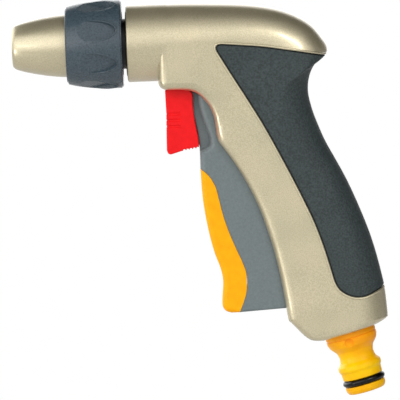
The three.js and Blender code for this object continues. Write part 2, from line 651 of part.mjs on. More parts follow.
add( 'gland_nut', turnedX( [
	[ - 46.2, 2.2 ], [ - 46.2, 6.6 ], [ - 44.3, 6.6 ], [ - 44.3, 5.0 ], [ - 41.9, 5.0 ], [ - 41.9, 2.2 ]
], VALVE_Z, 6 ), 'brass' );
add( 'stem_seal', turnedX( ringSection( - 41.0, 3.2, 1.1 ), VALVE_Z, SMALL ), 'seal' );
add( 'valve_seat', turnedX( [
	[ - 35.4, 3.2 ], [ - 35.4, 5.0 ], [ - 33.9, 5.0 ], [ - 33.9, 3.2 ]
], VALVE_Z ), 'brass' );
add( 'valve_stem', valveStem(), 'brass' );
add( 'valve_washer', turnedX( [
	[ - 33.6, 1.8 ], [ - 33.6, 4.4 ], [ - 32.2, 4.4 ], [ - 32.2, 1.8 ]
], VALVE_Z ), 'seal' );
add( 'stem_clip', turnedX( [
	[ - 31.9, 1.8 ], [ - 31.9, 3.4 ], [ - 30.7, 3.4 ], [ - 30.7, 1.8 ]
], VALVE_Z ), 'steel' );
add( 'valve_spring', valveSpring(), 'steel' );
add( 'valve_cap', turnedX( [
	[ - 27.6, 3.9 ], [ - 27.6, 5.0 ], [ - 24.7, 5.0 ], [ - 24.7, 6.2 ], [ - 23.6, 6.2 ], [ - 23.6, 0 ],
	[ - 25.2, 0 ], [ - 25.2, 3.9 ]
], VALVE_Z ), 'brass' );

add( 'trigger_pin', pin( TRIGGER_PIVOT, TRIGGER_PIN_R, EAR_OUTER ), 'steel' );
add( 'lock_pin', pin( LOCK_PIVOT, LOCK_PIN_R, EAR_OUTER ), 'steel' );
add( 'trigger_lever', triggerLever(), 'grey' );
add( 'trigger_pad', triggerPad(), 'amber' );
add( 'lock_lever', lockLever(), 'red' );

add( 'spindle_spigot', spindleSpigot(), 'black' );
add( 'spigot_seal', turnedX( ringSection( - 83.0, 7.6, 1.3 ), BARREL_Z ), 'seal' );
add( 'spray_cone', sprayCone(), 'black' );
add( 'glide_ring', turnedX( [
	[ - 95.6, 9.95 ], [ - 95.6, 11.2 ], [ - 92.6, 11.2 ], [ - 92.6, 9.95 ]
], BARREL_Z ), 'black' );
add( 'nozzle_insert', nozzleInsert(), 'black' );
add( 'nozzle_seal', turnedX( ringSection( - 114.2, 8.6, 1.4 ), BARREL_Z ), 'seal' );
add( 'nozzle_tip', nozzleTip(), 'paint' );
add( 'nozzle_collar', nozzleCollar(), 'collar' );

export default gun;
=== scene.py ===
from math import cos, pi, radians, sin

import bmesh
import bpy
import numpy as np
from mathutils import Matrix, Quaternion, Vector
from mathutils.bvhtree import BVHTree

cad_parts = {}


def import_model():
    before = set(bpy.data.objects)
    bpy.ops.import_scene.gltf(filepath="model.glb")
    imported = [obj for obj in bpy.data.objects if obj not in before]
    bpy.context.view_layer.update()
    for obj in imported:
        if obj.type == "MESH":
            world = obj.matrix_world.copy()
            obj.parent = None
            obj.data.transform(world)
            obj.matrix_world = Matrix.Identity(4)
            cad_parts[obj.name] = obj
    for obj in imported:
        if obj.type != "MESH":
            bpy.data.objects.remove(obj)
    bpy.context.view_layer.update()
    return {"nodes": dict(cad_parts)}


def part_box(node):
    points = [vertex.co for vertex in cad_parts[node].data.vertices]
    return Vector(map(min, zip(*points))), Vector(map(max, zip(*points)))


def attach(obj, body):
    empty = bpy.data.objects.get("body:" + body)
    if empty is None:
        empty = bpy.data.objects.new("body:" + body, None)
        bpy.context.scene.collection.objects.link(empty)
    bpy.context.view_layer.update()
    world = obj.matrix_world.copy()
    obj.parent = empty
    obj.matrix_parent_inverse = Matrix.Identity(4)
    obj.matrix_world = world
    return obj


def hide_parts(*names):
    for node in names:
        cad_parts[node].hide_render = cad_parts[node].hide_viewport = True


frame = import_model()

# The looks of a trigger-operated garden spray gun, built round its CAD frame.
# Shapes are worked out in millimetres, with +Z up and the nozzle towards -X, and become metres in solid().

MM = 0.001
WIDE = 20.0                    # half width of a cutter that spans the whole gun
NEAR_AXIS = 0.01               # the inner radius of a turned cutter that has no bore

# --------------------------------------------------------------------------------------------------
# Driving dimensions, from the frame where it has them
# --------------------------------------------------------------------------------------------------


def middle(node):
    """The centre of a CAD node's box, in millimetres."""
    low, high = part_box(node)
    return (low + high) / 2 / MM


def reach(node):
    """The lowest and highest corner of a CAD node's box, in millimetres."""
    low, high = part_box(node)
    return low / MM, high / MM


BARREL_Z = middle("nozzle_collar").z
BARREL_R = 14.9
BARREL_BORE_R = 12.9
BARREL_CORE_R = 2.0            # left open round the axis, well inside the bore
BARREL_EDGE = 0.7              # rounding of its front edge
BARREL_FACE_X = reach("body_shell")[0].x
NIPPLE_TILT = radians(14.5)
TRIGGER_HALF = reach("trigger_lever")[1].y
LOCK_HALF = reach("lock_lever")[1].y
TRIGGER_HOLE_R, LOCK_HOLE_R = 1.75, 1.45  # the levers' holes for their pivot pins

# Depths below the casting's outer surface
WALL = 3.0                     # the casting's inner surface, except at the back, where each rib has its own
RECESS = 1.6                   # the floor of the recess for the rubber panel
RUBBER_UNDERSIDE = 1.55
RUBBER_SUNK = 0.2              # the panel's face
FLANGE_SUNK = 1.3              # the thin rubber at the bottom of the gap round the panel

# Across the gap round the rubber panel, from the panel's outline
GROOVE = 0.2                   # how far the gap reaches outside
RUBBER_INSET = 0.35            # how far it reaches inside
RUBBER_PLAY = 0.03             # room between the rubber and the gap's outer wall
BEAD_MARGIN = 0.62             # how far outside the raised line has its centre
BEAD_R = 0.45
BEAD_RISE = 0.12               # how far its centre stands above the surface on the flanks
BEAD_FADE = 13.4               # nearer the middle plane than this it sinks in, until it is gone at the back
END_STEPS = 12                 # points that lead the raised line round the handle's back

CHANNEL_HALF = 10.2            # half width of the slot that the trigger moves in

BARREL_AXIS = (Vector((0, 0, BARREL_Z)), Vector((1, 0, 0)))
NIPPLE_AXIS = (Vector((0, 0, 0)), Vector((-sin(NIPPLE_TILT), 0, cos(NIPPLE_TILT))))

# --------------------------------------------------------------------------------------------------
# Meshes
# --------------------------------------------------------------------------------------------------


def solid(name, points, faces):
    """A closed mesh object from points in millimetres, with its faces pointing out."""
    mesh = bpy.data.meshes.new(name)
    mesh.from_pydata((MM * np.asarray(points, float)).tolist(), [], faces)
    work = bmesh.new()
    work.from_mesh(mesh)
    bmesh.ops.recalc_face_normals(work, faces=work.faces)
    work.to_mesh(mesh)
    work.free()
    obj = bpy.data.objects.new(name, mesh)
    bpy.context.scene.collection.objects.link(obj)
    return obj


def loft(name, sections, ring=False):
    """Rings of equally many points, joined in order, with flat ends or closed into a ring."""
    count, size = len(sections), len(sections[0])
    faces = []
    for i in range(count if ring else count - 1):
        here, there = i * size, (i + 1) % count * size
        for j in range(size):
            k = (j + 1) % size
            faces.append((here + j, here + k, there + k, there + j))
    if not ring:
        faces.append(tuple(range(size)))
        faces.append(tuple(range((count - 1) * size, count * size)))
    return solid(name, np.concatenate([np.asarray(s, float) for s in sections]), faces)


def bake(obj):
    """Applies an object's modifiers."""
    graph = bpy.context.evaluated_depsgraph_get()
    done = bpy.data.meshes.new_from_object(obj.evaluated_get(graph))
    obj.modifiers.clear()
    obj.data = done


def boolean(obj, operation, tools):
    """Changes an object by each tool in turn, and uses the tools up."""
    for tool in tools:
        modifier = obj.modifiers.new("boolean", "BOOLEAN")
        modifier.operation = operation
        modifier.solver = "MANIFOLD"
        modifier.object = tool
        bake(obj)
        bpy.data.objects.remove(tool)
    return obj


def cut(obj, *tools):
    """An object less its tools."""
    return boolean(obj, "DIFFERENCE", tools)


def joined(obj, *tools):
    """An object and its tools as one solid."""
    return boolean(obj, "UNION", tools)


def common(obj, *tools):
    """What an object and its tools have in common."""
    return boolean(obj, "INTERSECT", tools)


def copy(obj, name):
    """A second object with the same shape, under that name."""
    twin = bpy.data.objects.new(name, obj.data.copy())
    bpy.context.scene.collection.objects.link(twin)
    return twin


def shrunk(obj, name, depth):
    """A copy whose surface lies depth millimetres further in."""
    twin = copy(obj, name)
    normals = np.zeros(3 * len(twin.data.vertices), np.float32)
    places = normals.copy()
    twin.data.vertices.foreach_get("co", places)
    twin.data.vertices.foreach_get("normal", normals)
    twin.data.vertices.foreach_set("co", places - depth * MM * normals)
    twin.data.update()
    return twin


# --------------------------------------------------------------------------------------------------
# Outlines
# --------------------------------------------------------------------------------------------------


def curve(points, step=1.0):
    """A smooth open curve through rows of numbers, sampled about every step along its first columns."""
    rows = np.asarray(points, float)
    chords = np.linalg.norm(np.diff(rows[:, :4], axis=0), axis=1)
    knots = np.concatenate([[0], np.cumsum(chords)])
    slopes = np.diff(rows, axis=0) / chords[:, None]
    before, after = chords[:-1, None], chords[1:, None]
    inner = (after * slopes[:-1] + before * slopes[1:]) / (before + after)
    tangents = np.concatenate([slopes[:1], inner, slopes[-1:]])
    where = np.linspace(0, knots[-1], max(2, int(knots[-1] / step) + 1))
    i = np.clip(np.searchsorted(knots, where, side="right") - 1, 0, len(chords) - 1)
    t = ((where - knots[i]) / chords[i])[:, None]
    span = chords[i][:, None]
    return (
        (1 + 2 * t) * (1 - t) ** 2 * rows[i]
        + t * (1 - t) ** 2 * span * tangents[i]
        + t * t * (3 - 2 * t) * rows[i + 1]
        - t * t * (1 - t) * span * tangents[i + 1]
    )


def corners(points, steps=5):
    """A closed outline of (a, b, radius) corners, each rounded off."""
    places = np.asarray([p[:2] for p in points], float)
    made = []
    for i, point in enumerate(points):
        here, last, following = places[i], places[i - 1], places[(i + 1) % len(points)]
        radius = point[2] if len(point) > 2 else 0
        if radius == 0:
            made.append(here)
            continue
        back, ahead = last - here, following - here
        room = 0.48 * min(np.linalg.norm(back), np.linalg.norm(ahead))
        back, ahead = back / np.linalg.norm(back), ahead / np.linalg.norm(ahead)
        half_angle = np.arccos(np.clip(back @ ahead, -1, 1)) / 2
        away = min(radius / np.tan(half_angle), room)
        for t in np.linspace(0, 1, steps + 1):
            made.append(here + away * ((1 - t) ** 2 * back + t * t * ahead))
    return np.array(made)


def outward(outline):
    """Unit vectors pointing out of a closed outline at its points, lengthened at its corners."""
    before = outline - np.roll(outline, 1, axis=0)
    after = np.roll(outline, -1, axis=0) - outline
    before /= np.maximum(np.linalg.norm(before, axis=1, keepdims=True), 1e-9)
    after /= np.maximum(np.linalg.norm(after, axis=1, keepdims=True), 1e-9)
    along = before + after
    along /= np.linalg.norm(along, axis=1, keepdims=True)
    x, z = outline.T
    area = np.sum(x * np.roll(z, -1) - z * np.roll(x, -1))
    normal = np.sign(area) * np.column_stack([along[:, 1], -along[:, 0]])
    sharp = np.clip(np.sum(along * after, axis=1, keepdims=True), 0.6, 1)
    return normal / sharp


def plate(name, outline, half, rounding=0.0, steps=5):
    """A side outline with thickness from y = -half to half, and rounded edges of one radius or many."""
    outline = np.asarray(outline, float)
    rounding = np.broadcast_to(np.asarray(rounding, float), len(outline))
    out = outward(outline)
    turns = np.linspace(0, pi / 2, steps + 1) if rounding.any() else [pi / 2]
    sides = []
    for angle in turns:
        place = outline - (rounding * (1 - cos(angle)))[:, None] * out
        sides.append((place, half - rounding * (1 - sin(angle))))
    rings = [(place, -y) for place, y in reversed(sides)] + sides
    return loft(name, [np.column_stack([p[:, 0], y, p[:, 1]]) for p, y in rings])


def turned(name, profile, axis, segments=96):
    """A ring turned about an axis, from a closed profile of (along, radius) points."""
    origin, direction = axis
    side = Vector((0, 1, 0))
    up = direction.cross(side)
    profile = np.asarray(profile, float)
    centres = np.array(origin) + profile[:, :1] * np.array(direction)
    sections = []
    for i in range(segments):
        angle = 2 * pi * i / segments
        spoke = np.array(cos(angle) * side + sin(angle) * up)
        sections.append(centres + profile[:, 1:2] * spoke)
    return loft(name, sections, ring=True)


def ring_section(along, radius, thick, sides=16):
    """The round section of a rubber ring, as (along, radius) points."""
    angles = 2 * pi * np.arange(sides) / sides
    return np.column_stack([along + thick / 2 * np.cos(angles), radius + thick / 2 * np.sin(angles)])


def pin(name, centre, radius, segments=32):
    """A round bar parallel to Y through (x, z), which spans the whole gun."""
    angles = 2 * pi * np.arange(segments) / segments
    outline = np.column_stack([centre[0] + radius * np.cos(angles), centre[1] + radius * np.sin(angles)])
    return plate(name, outline, WIDE)


def tube(name, path, up, radius, ring=False, sides=12):
    """A round bar along a path, with a direction across it at each point, or closed on itself as a ring."""
    path, up = np.asarray(path, float), np.asarray(up, float)
    along = np.roll(path, -1, axis=0) - np.roll(path, 1, axis=0) if ring else np.gradient(path, axis=0)
    along /= np.linalg.norm(along, axis=1, keepdims=True)
    across = np.cross(along, up)
    across /= np.linalg.norm(across, axis=1, keepdims=True)
    upright = np.cross(across, along)
    angles = 2 * pi * np.arange(sides) / sides
    sections = [
        p + radius * (np.outer(np.cos(angles), a) + np.outer(np.sin(angles), u))
        for p, a, u in zip(path, across, upright)
    ]
    return loft(name, sections, ring)


# --------------------------------------------------------------------------------------------------
# Materials
# --------------------------------------------------------------------------------------------------


def linear(*rgb):
    """An sRGB colour of 0 to 255 as Blender's linear one."""
    return [((c / 255 + 0.055) / 1.055) ** 2.4 if c > 10 else c / 255 / 12.92 for c in rgb] + [1.0]


class Finish:
    """A Principled material whose colour, roughness and relief vary with the place on the object."""

    def __init__(self, name, roughness, **sockets):
        self.material = bpy.data.materials.new(name)
        self.material.use_nodes = True
        self.nodes = self.material.node_tree.nodes
        self.links = self.material.node_tree.links
        self.shader = self.nodes["Principled BSDF"]
        self.shader.inputs["Roughness"].default_value = roughness
        for socket, value in sockets.items():
            self.shader.inputs[socket.replace("_", " ")].default_value = value
        self.place = self.nodes.new("ShaderNodeTexCoord").outputs["Object"]
        self.relief = None

    def noise(self, size, detail=2.0, stretch=None):
        """Noise whose features are about size millimetres across."""
        node = self.nodes.new("ShaderNodeTexNoise")
        node.inputs["Scale"].default_value = 1 / (size * MM)
        node.inputs["Detail"].default_value = detail
        place = self.place
        if stretch:
            mapping = self.nodes.new("ShaderNodeMapping")
            mapping.inputs["Scale"].default_value = stretch
            self.links.new(place, mapping.inputs["Vector"])
            place = mapping.outputs["Vector"]
        self.links.new(place, node.inputs["Vector"])
        return node.outputs["Fac"]

    def ramp(self, factor, stops):
        """The colour that (position, colour) stops give a factor of 0 to 1."""
        node = self.nodes.new("ShaderNodeValToRGB")
        elements = node.color_ramp.elements
        while len(elements) < len(stops):
            elements.new(0.5)
        for element, (position, colour) in zip(elements, stops):
            element.position = position
            element.color = colour
        self.links.new(factor, node.inputs["Fac"])
        return node.outputs["Color"]

    def multiplied(self, first, second):
        """The product of two colours."""
        node = self.nodes.new("ShaderNodeMix")
        node.data_type = "RGBA"
        node.blend_type = "MULTIPLY"
        inputs = {socket.name: socket for socket in node.inputs if socket.enabled}
        inputs["Factor"].default_value = 1.0
        self.links.new(first, inputs["A"])
        self.links.new(second, inputs["B"])
        return next(socket for socket in node.outputs if socket.enabled)

    def colour(self, source):
        self.links.new(source, self.shader.inputs["Base Color"])

    def speckle(self, size, dark, light, low=0.35, high=0.65):
        """Base colour that varies between two colours in patches of that size."""
        self.colour(self.ramp(self.noise(size), [(low, dark), (high, light)]))

    def rough(self, size, low, high):
        """Roughness that varies between two values in patches of that size."""
        node = self.nodes.new("ShaderNodeMapRange")
        node.inputs["To Min"].default_value = low
        node.inputs["To Max"].default_value = high
        self.links.new(self.noise(size, 3.0), node.inputs["Value"])
        self.links.new(node.outputs["Result"], self.shader.inputs["Roughness"])

    def bump(self, size, depth, detail=2.0, stretch=None):
        """Adds relief of that depth in millimetres."""
        node = self.nodes.new("ShaderNodeBump")
        node.inputs["Distance"].default_value = depth * MM
        self.links.new(self.noise(size, detail, stretch), node.inputs["Height"])
        if self.relief:
            self.links.new(self.relief, node.inputs["Normal"])
        self.relief = node.outputs["Normal"]
        self.links.new(self.relief, self.shader.inputs["Normal"])


def champagne_paint():
    """Pale gold paint with fine flakes, under a clear coat."""
    finish = Finish("champagne_paint", 0.36, Metallic=0.72, Coat_Weight=0.9, Coat_Roughness=0.07)
    dark, light = linear(196, 186, 155), linear(214, 204, 174)
    flakes = finish.ramp(finish.noise(0.35, 0.0), [(0.3, dark), (0.7, light)])
    broad = finish.ramp(finish.noise(14.0), [(0.35, linear(246, 246, 243)), (0.65, linear(255, 253, 250))])
    finish.colour(finish.multiplied(flakes, broad))
    finish.rough(3.0, 0.32, 0.40)
    finish.bump(0.45, 0.006, 1.0)
    finish.bump(2.5, 0.010)
    return finish.material


def grip_rubber():
    """Dark rubber with a moulded grain."""
    finish = Finish("grip_rubber", 0.6, Specular_IOR_Level=0.4)
    grain = finish.ramp(finish.noise(0.7, 4.0), [(0.35, linear(40, 49, 49)), (0.65, linear(62, 71, 72))])
    broad = finish.ramp(finish.noise(9.0), [(0.3, linear(232, 236, 236)), (0.7, linear(255, 255, 255))])
    finish.colour(finish.multiplied(grain, broad))
    finish.rough(1.2, 0.52, 0.68)
    finish.bump(0.55, 0.06, 3.0)
    return finish.material


def plastic(name, dark, light, roughness, grain=0.7, depth=0.012, **sockets):
    """Moulded plastic or rubber between two colours, with grain of that size and depth."""
    finish = Finish(name, roughness, **sockets)
    finish.speckle(grain, linear(*dark), linear(*light), 0.25, 0.75)
    finish.rough(4.0, roughness - 0.04, roughness + 0.04)
    finish.bump(grain, depth)
    return finish.material


PAINTED_ORANGE_LOW_Z, PAINTED_ORANGE_HIGH_Z = 3.0, 22.0      # heights between which the nipple's yellow deepens to orange, a painted shade and reflected light near the casting


def nipple_plastic():
    """Yellow that deepens to orange next to the casting: painted shade and reflected light, not a change in
    the plastic.
    """
    finish = Finish("nipple_plastic", 0.3, Specular_IOR_Level=0.2)
    height = finish.nodes.new("ShaderNodeSeparateXYZ")
    finish.links.new(finish.place, height.inputs["Vector"])
    level = finish.nodes.new("ShaderNodeMapRange")
    level.inputs["From Min"].default_value = PAINTED_ORANGE_LOW_Z * MM
    level.inputs["From Max"].default_value = PAINTED_ORANGE_HIGH_Z * MM
    finish.links.new(height.outputs["Z"], level.inputs["Value"])
    # The orange end of this ramp is painted shade and reflected light, not a different plastic
    yellow = finish.ramp(level.outputs["Result"], [
        (0.0, linear(246, 182, 0)), (0.35, linear(252, 204, 0)), (0.65, linear(252, 186, 0)),
        (0.95, linear(252, 164, 8)),
    ])
    cloudy = finish.ramp(finish.noise(5.0), [(0.35, linear(250, 240, 225)), (0.65, linear(255, 255, 255))])
    finish.colour(finish.multiplied(yellow, cloudy))
    finish.rough(4.0, 0.24, 0.36)
    finish.bump(3.0, 0.02)
    return finish.material


def bare_metal(name, dark, light, roughness):
    """Metal with fine brushing along Y."""
    finish = Finish(name, roughness, Metallic=1.0)
    finish.speckle(0.5, linear(*dark), linear(*light))
    finish.rough(1.5, roughness - 0.06, roughness + 0.08)
    finish.bump(0.3, 0.004, stretch=(1.0, 0.1, 1.0))
    return finish.material


PAINT = champagne_paint()
RUBBER_GRIP = grip_rubber()
COLLAR = plastic("collar_plastic", (46, 59, 67), (74, 88, 96), 0.26, grain=0.6, depth=0.05)
TRIGGER_GREY = plastic("trigger_plastic", (98, 108, 109), (110, 120, 121), 0.44)
PAD_AMBER = plastic("pad_rubber", (244, 164, 0), (252, 176, 4), 0.5, grain=3.0, Specular_IOR_Level=0.15)
LOCK_RED = plastic("lock_plastic", (226, 10, 16), (238, 18, 24), 0.38, grain=2.5, Specular_IOR_Level=0.2)
NIPPLE_YELLOW = nipple_plastic()
BLACK = plastic("black_plastic", (14, 15, 16), (24, 25, 27), 0.4)
SEAL = plastic("seal_rubber", (2, 2, 2), (6, 5, 4), 0.16, grain=1.5, depth=0.006, Specular_IOR_Level=0.3)
STEEL = bare_metal("stainless_steel", (168, 172, 176), (192, 196, 199), 0.28)
BRASS = bare_metal("brass", (172, 138, 66), (196, 160, 84), 0.3)

SLOT_MATERIALS = {
    "champagne_paint": PAINT, "grip_rubber": RUBBER_GRIP, "collar_plastic": COLLAR,
    "trigger_plastic": TRIGGER_GREY, "pad_rubber": PAD_AMBER, "lock_plastic": LOCK_RED,
    "nipple_plastic": NIPPLE_YELLOW, "black_plastic": BLACK, "seal_rubber": SEAL,
    "stainless_steel": STEEL, "brass": BRASS,
}


def placed(obj, body, slot, nodes, sharp=32.0):
    """Gives a piece its smooth shading and finish, and puts it on its body in place of CAD nodes."""
    obj.data.materials.clear()
    obj.data.materials.append(SLOT_MATERIALS[slot])
    obj.data.shade_smooth()
    obj.data.set_sharp_from_angle(angle=radians(sharp))
    normals = obj.modifiers.new("normals", "WEIGHTED_NORMAL")
    normals.keep_sharp = True
    bake(obj)
    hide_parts(*nodes)
    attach(obj, body)
    return obj


# --------------------------------------------------------------------------------------------------
# The pistol-shaped casting and the rubber on it
#
# The outside is a loft over ribs, each a rounded rectangle that spans the body from a point on the
# front or underside to a point on the top or back, both in the plane y = 0:
# front x, front z, back x, back z, half width, corner radius at the front and at the back, back wall
# --------------------------------------------------------------------------------------------------

HANDLE_RIBS = [
    (-72.6, 119.5, -72.6, 152.0, 14.8, 3.0, 14.8, 3),            # pivot housing
    (-66.0, 119.3, -64.0, 151.9, 14.7, 3.0, 14.7, 3),
    (-62.8, 118.4, -57.0, 151.6, 14.5, 3.8, 14.5, 3),            # arch behind the trigger
    (-59.6, 115.9, -48.0, 151.2, 14.3, 3.8, 14.3, 3),
    (-57.0, 112.4, -40.0, 150.5, 14.1, 3.8, 14.1, 3),
    (-55.8, 109.2, -33.1, 149.4, 13.95, 3.8, 13.95, 3),
    (-55.3, 107.0, -26.8, 147.6, 13.85, 3.8, 13.85, 3),
    (-55.2, 105.6, -21.4, 145.1, 13.8, 3.8, 13.8, 3),
    (-55.1, 104.8, -16.7, 141.9, 13.8, 3.8, 13.8, 3),
    (-55.0, 104.1, -13.2, 137.4, 13.8, 3.8, 13.8, 4),
    (-54.9, 103.5, -10.4, 132.4, 13.8, 3.8, 13.8, 6),            # heel
    (-54.9, 102.9, -11.2, 130.1, 13.8, 3.8, 13.6, 8),
    (-54.8, 102.2, -15.1, 127.9, 13.8, 3.8, 13.4, 7),
    (-54.6, 101.1, -17.9, 123.0, 13.8, 3.8, 13.2, 5),            # hollow for the web of the hand
    (-54.0, 99.0, -18.8, 116.6, 13.8, 3.8, 13.0, 3),
    (-52.6, 96.8, -17.6, 110.4, 13.8, 3.8, 12.8, 3),
    (-48.7, 91.2, -15.3, 103.5, 13.75, 3.8, 12.6, 3),
    (-44.9, 84.8, -12.7, 97.1, 13.7, 3.8, 12.5, 3),
    (-41.4, 77.7, -9.6, 91.1, 13.7, 3.8, 12.4, 3),
    (-38.4, 70.2, -5.6, 83.3, 13.7, 3.8, 12.4, 3),
    (-36.1, 63.0, -2.3, 75.8, 13.7, 3.8, 12.3, 3),
    (-34.4, 56.8, 0.5, 68.7, 13.6, 3.8, 12.3, 3),
    (-32.9, 50.1, 3.1, 61.4, 13.6, 3.8, 12.2, 3),
    (-31.4, 41.9, 5.6, 52.6, 13.5, 3.8, 12.1, 3),
    (-30.5, 35.8, 7.2, 45.5, 13.5, 3.8, 12.0, 3),
    (-30.0, 31.8, 8.3, 39.9, 13.5, 3.8, 12.0, 3),
    (-29.5, 29.1, 8.8, 34.6, 13.4, 3.8, 12.0, 3),
]
FOOT_RIBS = [                                                    # chamfered towards the nipple
    (-28.4, 28.0, 9.1, 29.9, 13.3, 3.5, 12.0, 3),
    (-22.3, 21.9, 8.2, 28.1, 13.1, 3.2, 11.6, 3),
    (-20.6, 21.0, 6.3, 26.9, 12.9, 3.2, 11.3, 3),
    (-19.0, 20.7, 4.8, 26.3, 12.4, 3.4, 10.9, 3),
    (-17.5, 20.5, 3.6, 25.9, 11.4, 3.8, 10.3, 3),
]
BOSS_ROUND = 3.9               # the pivot housing's rounded front, along and across the gun
BOSS_DROP = 3.0                # and in height at its underside
BOSS_STEPS = 8
RIB_STEP = 0.9
ARC_STEPS = 14
LEAST_ROUND, LEAST_FLAT = 0.8, 0.02  # of a rib's corners, and of the sides between them


def rib_section(rib):
    """The points round one rib."""
    front_x, front_z, back_x, back_z, width, front_round, back_round = rib[:7]
    start, end = np.array([front_x, 0, front_z]), np.array([back_x, 0, back_z])
    length = np.linalg.norm(end - start)
    along = (end - start) / length
    most_round = min(width, length / 2) - LEAST_FLAT
    points = []
    for at_back, side in ((0, -1), (0, 1), (1, 1), (1, -1)):
        radius = min(max(back_round if at_back else front_round, LEAST_ROUND), most_round)
        centre = length - radius if at_back else radius
        turns = np.linspace(0, pi / 2, ARC_STEPS + 1)
        if side != (1 if at_back else -1):
            turns = turns[::-1]
        for turn in turns:
            t = centre + (1 if at_back else -1) * radius * sin(turn)
            y = side * (width - radius + radius * cos(turn))
            points.append(start + t * along + np.array([0, y, 0]))
    return points


def softened(rows, passes=8):
    """Rows whose small kinks are smoothed out, with the ends kept."""
    rows = rows.copy()
    for _ in range(passes):
        rows[1:-1] = (rows[:-2] + 2 * rows[1:-1] + rows[2:]) / 4
    return rows


def handle_loft(name):
    """The outside of the pivot housing, the handle and its foot, as one solid."""
    first_x, under, _, top, width, front_round, _, wall = HANDLE_RIBS[0]
    boss = []
    for turn in np.linspace(0, pi / 2, BOSS_STEPS + 1)[:-1]:
        x = first_x - BOSS_ROUND * cos(turn)
        drop, narrowing = BOSS_DROP * (1 - sin(turn)), BOSS_ROUND * (1 - sin(turn))
        half = width - narrowing
        boss.append((x, under + drop, x, top - narrowing, half, front_round, half, wall))
    ribs = [*boss, *softened(curve(HANDLE_RIBS, RIB_STEP)), *curve(FOOT_RIBS, RIB_STEP)]
    return loft(name, [rib_section(rib) for rib in ribs])


def barrel():
    """The round front of the casting, which reaches into the handle."""
    face, inside = BARREL_FACE_X, HANDLE_RIBS[0][0]
    profile = corners([
        (face, BARREL_CORE_R), (face, BARREL_R, BARREL_EDGE), (inside, BARREL_R), (inside, BARREL_CORE_R),
    ])
    return turned("barrel", profile, BARREL_AXIS)


PANEL_TOP = [(-7.0, 129.8), (-12.8, 130.7), (-25.1, 133.0), (-35.9, 134.8), (-44.4, 135.7), (-51.0, 136.3)]
PANEL_FRONT = [
    (-53.2, 133.7), (-47.9, 124.6), (-42.4, 115.4), (-37.0, 106.1), (-31.5, 95.5), (-26.8, 86.0),
    (-22.1, 76.0), (-18.5, 67.8), (-15.7, 60.0), (-13.6, 53.1), (-11.9, 46.8), (-10.9, 43.4),
    (-9.4, 40.8), (-6.8, 38.8), (-3.7, 37.7), (-0.2, 37.7), (4.5, 39.4), (12.0, 43.2),
]
PANEL_CORNER = (-54.6, 136.7)
BEHIND = [(30, 50), (30, 125)]                                   # clear of the handle's back
HALVINGS = 30                                                    # in the search for the silhouette


def panel_outline(margin):
    """The rubber panel's outline, moved out by margin along its edge."""
    top, front = curve(PANEL_TOP), curve(PANEL_FRONT)
    t = np.linspace(0, 1, 7)[1:-1, None]
    corner = (1 - t) ** 2 * top[-1] + 2 * t * (1 - t) * np.array(PANEL_CORNER) + t * t * front[0]
    edge = np.concatenate([top, corner, front])
    along = np.gradient(edge, axis=0)
    along /= np.linalg.norm(along, axis=1, keepdims=True)
    return edge + margin * np.column_stack([along[:, 1], -along[:, 0]])


def panel_plate(name, margin):
    """A cutter with the rubber panel's outline."""
    return plate(name, np.concatenate([panel_outline(margin), BEHIND]), WIDE)


def bead_path(outside):
    """The loop round the panel on the casting's surface, and the surface's normals there."""
    tree = BVHTree.FromObject(outside, bpy.context.evaluated_depsgraph_get())

    def cast(x, z):
        return tree.ray_cast(Vector((x, -WIDE, z)) * MM, Vector((0, 1, 0)))[:2]

    def last_hit(inside, beyond):
        for _ in range(HALVINGS):
            half = (inside + beyond) / 2
            inside, beyond = (half, beyond) if cast(*half)[0] else (inside, half)
        return inside

    line = panel_outline(BEAD_MARGIN)
    hits = [i for i, point in enumerate(line) if cast(*point)[0]]
    first, last = hits[0], hits[-1]
    ends = last_hit(line[first], line[first - 1]), last_hit(line[last], line[last + 1])
    steps = np.linspace(1, 0, END_STEPS + 1)[1:, None] ** 2
    lead_in = ends[0] + (line[first] - ends[0]) * steps[::-1]
    lead_out = ends[1] + (line[last] - ends[1]) * steps
    places, normals = [], []
    for x, z in np.concatenate([lead_in, line[first:last + 1], lead_out]):
        place, normal = cast(x, z)
        if place and place.y < -BEAD_R * MM:
            fade = max(0, 1 + place.y / MM / BEAD_FADE)
            rise = BEAD_RISE - (BEAD_RISE + BEAD_R) * fade
            places.append(np.array(place) / MM + rise * np.array(normal))
            normals.append(np.array(normal))
    mirror = np.array([1.0, -1.0, 1.0])
    places, normals = np.array(places), np.array(normals)
    places[[0, -1], 1], normals[[0, -1], 1] = -BEAD_R, 0
    places = np.concatenate([places, places[::-1] * mirror])
    normals = np.concatenate([normals, normals[::-1] * mirror])
    return places, normals


CHANNEL = [
    (-73.3, 114.0), (-73.3, 124.0), (-60.0, 121.0), (-52.0, 111.0), (-48.5, 103.0), (-43.5, 91.0),
    (-36.5, 78.0), (-30.0, 60.0), (-26.0, 45.0), (-25.5, 31.8), (-38.0, 31.8), (-44.0, 60.0),
    (-52.0, 80.0), (-62.0, 100.0),
]
BORE_ENDS = (BARREL_FACE_X - 1, -75.0)
FRONT_WALL = 1.1               # how far behind its first rib the pivot housing's hollow starts
LEAST_INSIDE_ROUND = 1.0
NIPPLE_HOLE = (18.0, 34.0, 8.6)  # where it starts and ends along the nipple's axis, and its radius


def hollow():
    """The inside of the casting, open to the front through the barrel."""
    bore = BARREL_BORE_R
    ribs = [(x, BARREL_Z - bore, x, BARREL_Z + bore, bore, bore, bore) for x in BORE_ENDS]
    for i, rib in enumerate(HANDLE_RIBS):
        front_x, front_z, back_x, back_z, half, front_round, back_round, wall = rib
        front, back = np.array([front_x, front_z]), np.array([back_x, back_z])
        along = (back - front) / np.linalg.norm(back - front)
        front, back = front + WALL * along, back - wall * along
        shift = FRONT_WALL if i == 0 else 0
        ribs.append((
            front[0] + shift, front[1], back[0] + shift, back[1],
            half - WALL, max(front_round - WALL, LEAST_INSIDE_ROUND), back_round - WALL,
        ))
    return loft("hollow", [rib_section(rib) for rib in ribs])


